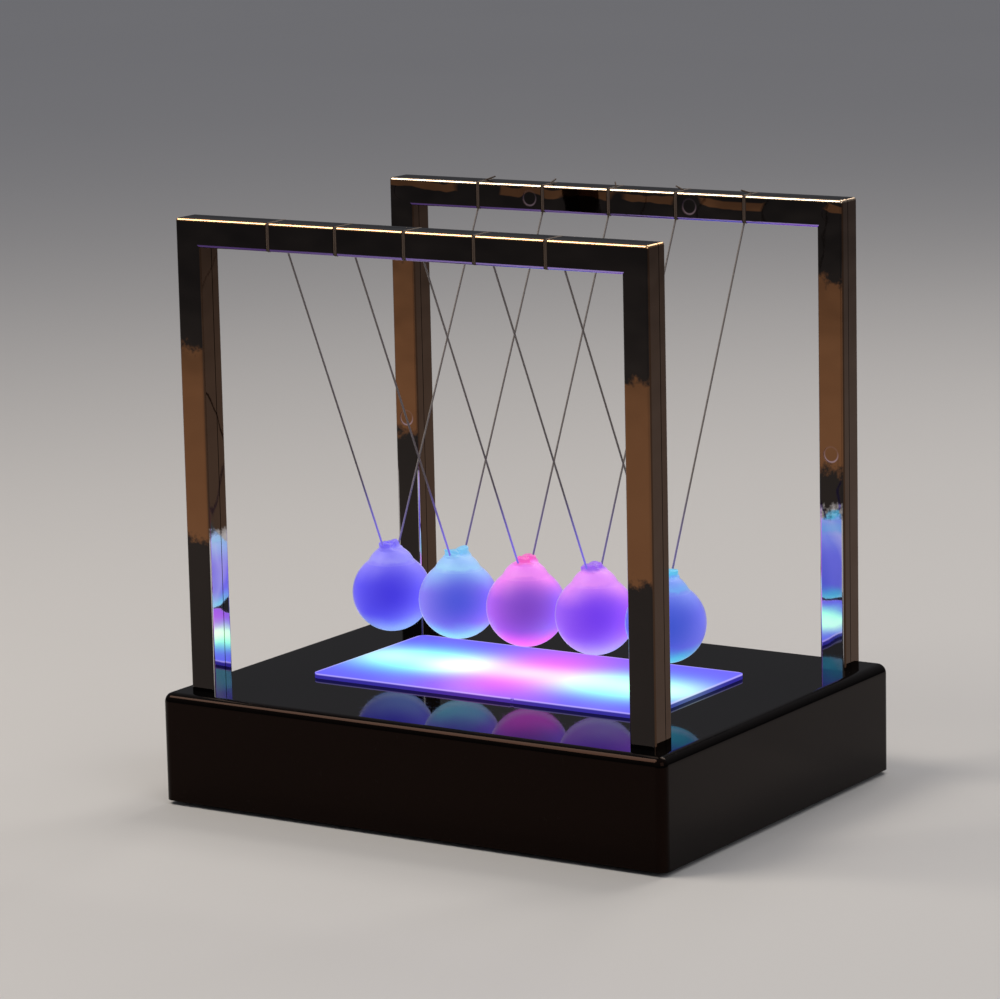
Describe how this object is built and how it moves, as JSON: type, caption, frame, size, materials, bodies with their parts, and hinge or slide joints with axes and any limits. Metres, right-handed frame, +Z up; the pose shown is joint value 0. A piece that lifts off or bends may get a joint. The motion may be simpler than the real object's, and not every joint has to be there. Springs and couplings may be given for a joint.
{
  "type": "newtons cradle",
  "caption": "Desktop Newton's cradle: frosted balls on V strings between two chrome arches, over a glowing colour panel in a glossy black base box.",
  "frame": {"origin": "centre of the base's footprint, on the plane that the four feet stand on", "axes": "+X along the row of balls to the right, +Y from the front face to the back face, where the power switch is, +Z up"},
  "size_m": [0.18, 0.1396, 0.1836],
  "materials": {
    "gloss_black": "high gloss black moulded plastic",
    "matt_black": "fine matt texture",
    "steel": "zinc-plated screws and switch can",
    "foot_rubber": "matt",
    "light_panel": "frosted translucent diffuser, lit from below",
    "white_plastic": "matt white reflector",
    "circuit_board": "solder-masked laminate",
    "led_lens": "clear domed lens, lit",
    "black_component": "moulded epoxy",
    "wire_red": "PVC insulation",
    "switch_black": "satin",
    "battery_jacket": "printed-free plain jacket",
    "nickel_contact": "nickel plated spring strip",
    "chrome_plate": "mirror chrome plate over moulded plastic, slightly wavy",
    "string": "thin twisted nylon",
    "ball_1": "frosted translucent, lit deep blue-violet",
    "ball_2": "frosted translucent, lit pale blue",
    "ball_3": "frosted translucent, lit magenta",
    "ball_4": "frosted translucent, lit violet",
    "ball_5": "frosted translucent, lit blue",
    "ball_cap": "frosted translucent moulding, rough-cut knob"
  },
  "bodies": {
    "stand": {"base_housing": "gloss_black", "base_cover": "matt_black", "battery_door": "matt_black", "cover_screws": "steel", "door_screw": "steel", "feet": "foot_rubber", "light_panel": "light_panel", "light_tray": "white_plastic", "led_board": "circuit_board", "leds": "led_lens", "led_resistors": "black_component", "controller_chip": "black_component", "board_screws": "steel", "wires": "wire_red", "switch_body": "steel", "batteries": "battery_jacket", "battery_contacts": "nickel_contact", "front_arch_outer": "chrome_plate", "front_arch_inner": "chrome_plate", "rear_arch_outer": "chrome_plate", "rear_arch_inner": "chrome_plate", "arch_screws": "steel", "string_wraps": "string"},
    "pendulum_1": {"ball_1": "ball_1", "ball_cap_1": "ball_cap", "string_1": "string"},
    "pendulum_2": {"ball_2": "ball_2", "ball_cap_2": "ball_cap", "string_2": "string"},
    "pendulum_3": {"ball_3": "ball_3", "ball_cap_3": "ball_cap", "string_3": "string"},
    "pendulum_4": {"ball_4": "ball_4", "ball_cap_4": "ball_cap", "string_4": "string"},
    "pendulum_5": {"ball_5": "ball_5", "ball_cap_5": "ball_cap", "string_5": "string"},
    "switch_nub": {"power_switch": "switch_black"}
  },
  "joints": [
    {"name": "swing_1", "type": "hinge", "parent": "stand", "child": "pendulum_1", "pos_m": [-0.049, 0, 0.1735], "axis": [0, -1, 0], "range_deg": [-60, 0]},
    {"name": "swing_2", "type": "hinge", "parent": "stand", "child": "pendulum_2", "pos_m": [-0.0245, 0, 0.1735], "axis": [0, -1, 0], "range_deg": [-0.06, 0.06]},
    {"name": "swing_3", "type": "hinge", "parent": "stand", "child": "pendulum_3", "pos_m": [0, 0, 0.1735], "axis": [0, -1, 0], "range_deg": [-0.06, 0.06]},
    {"name": "swing_4", "type": "hinge", "parent": "stand", "child": "pendulum_4", "pos_m": [0.0245, 0, 0.1735], "axis": [0, -1, 0], "range_deg": [-0.06, 0.06]},
    {"name": "swing_5", "type": "hinge", "parent": "stand", "child": "pendulum_5", "pos_m": [0.049, 0, 0.1735], "axis": [0, -1, 0], "range_deg": [0, 60]},
    {"name": "power_switch_slide", "type": "slide", "parent": "stand", "child": "switch_nub", "axis": [-1, 0, 0], "range_m": [0, 0.003]}
  ]
}
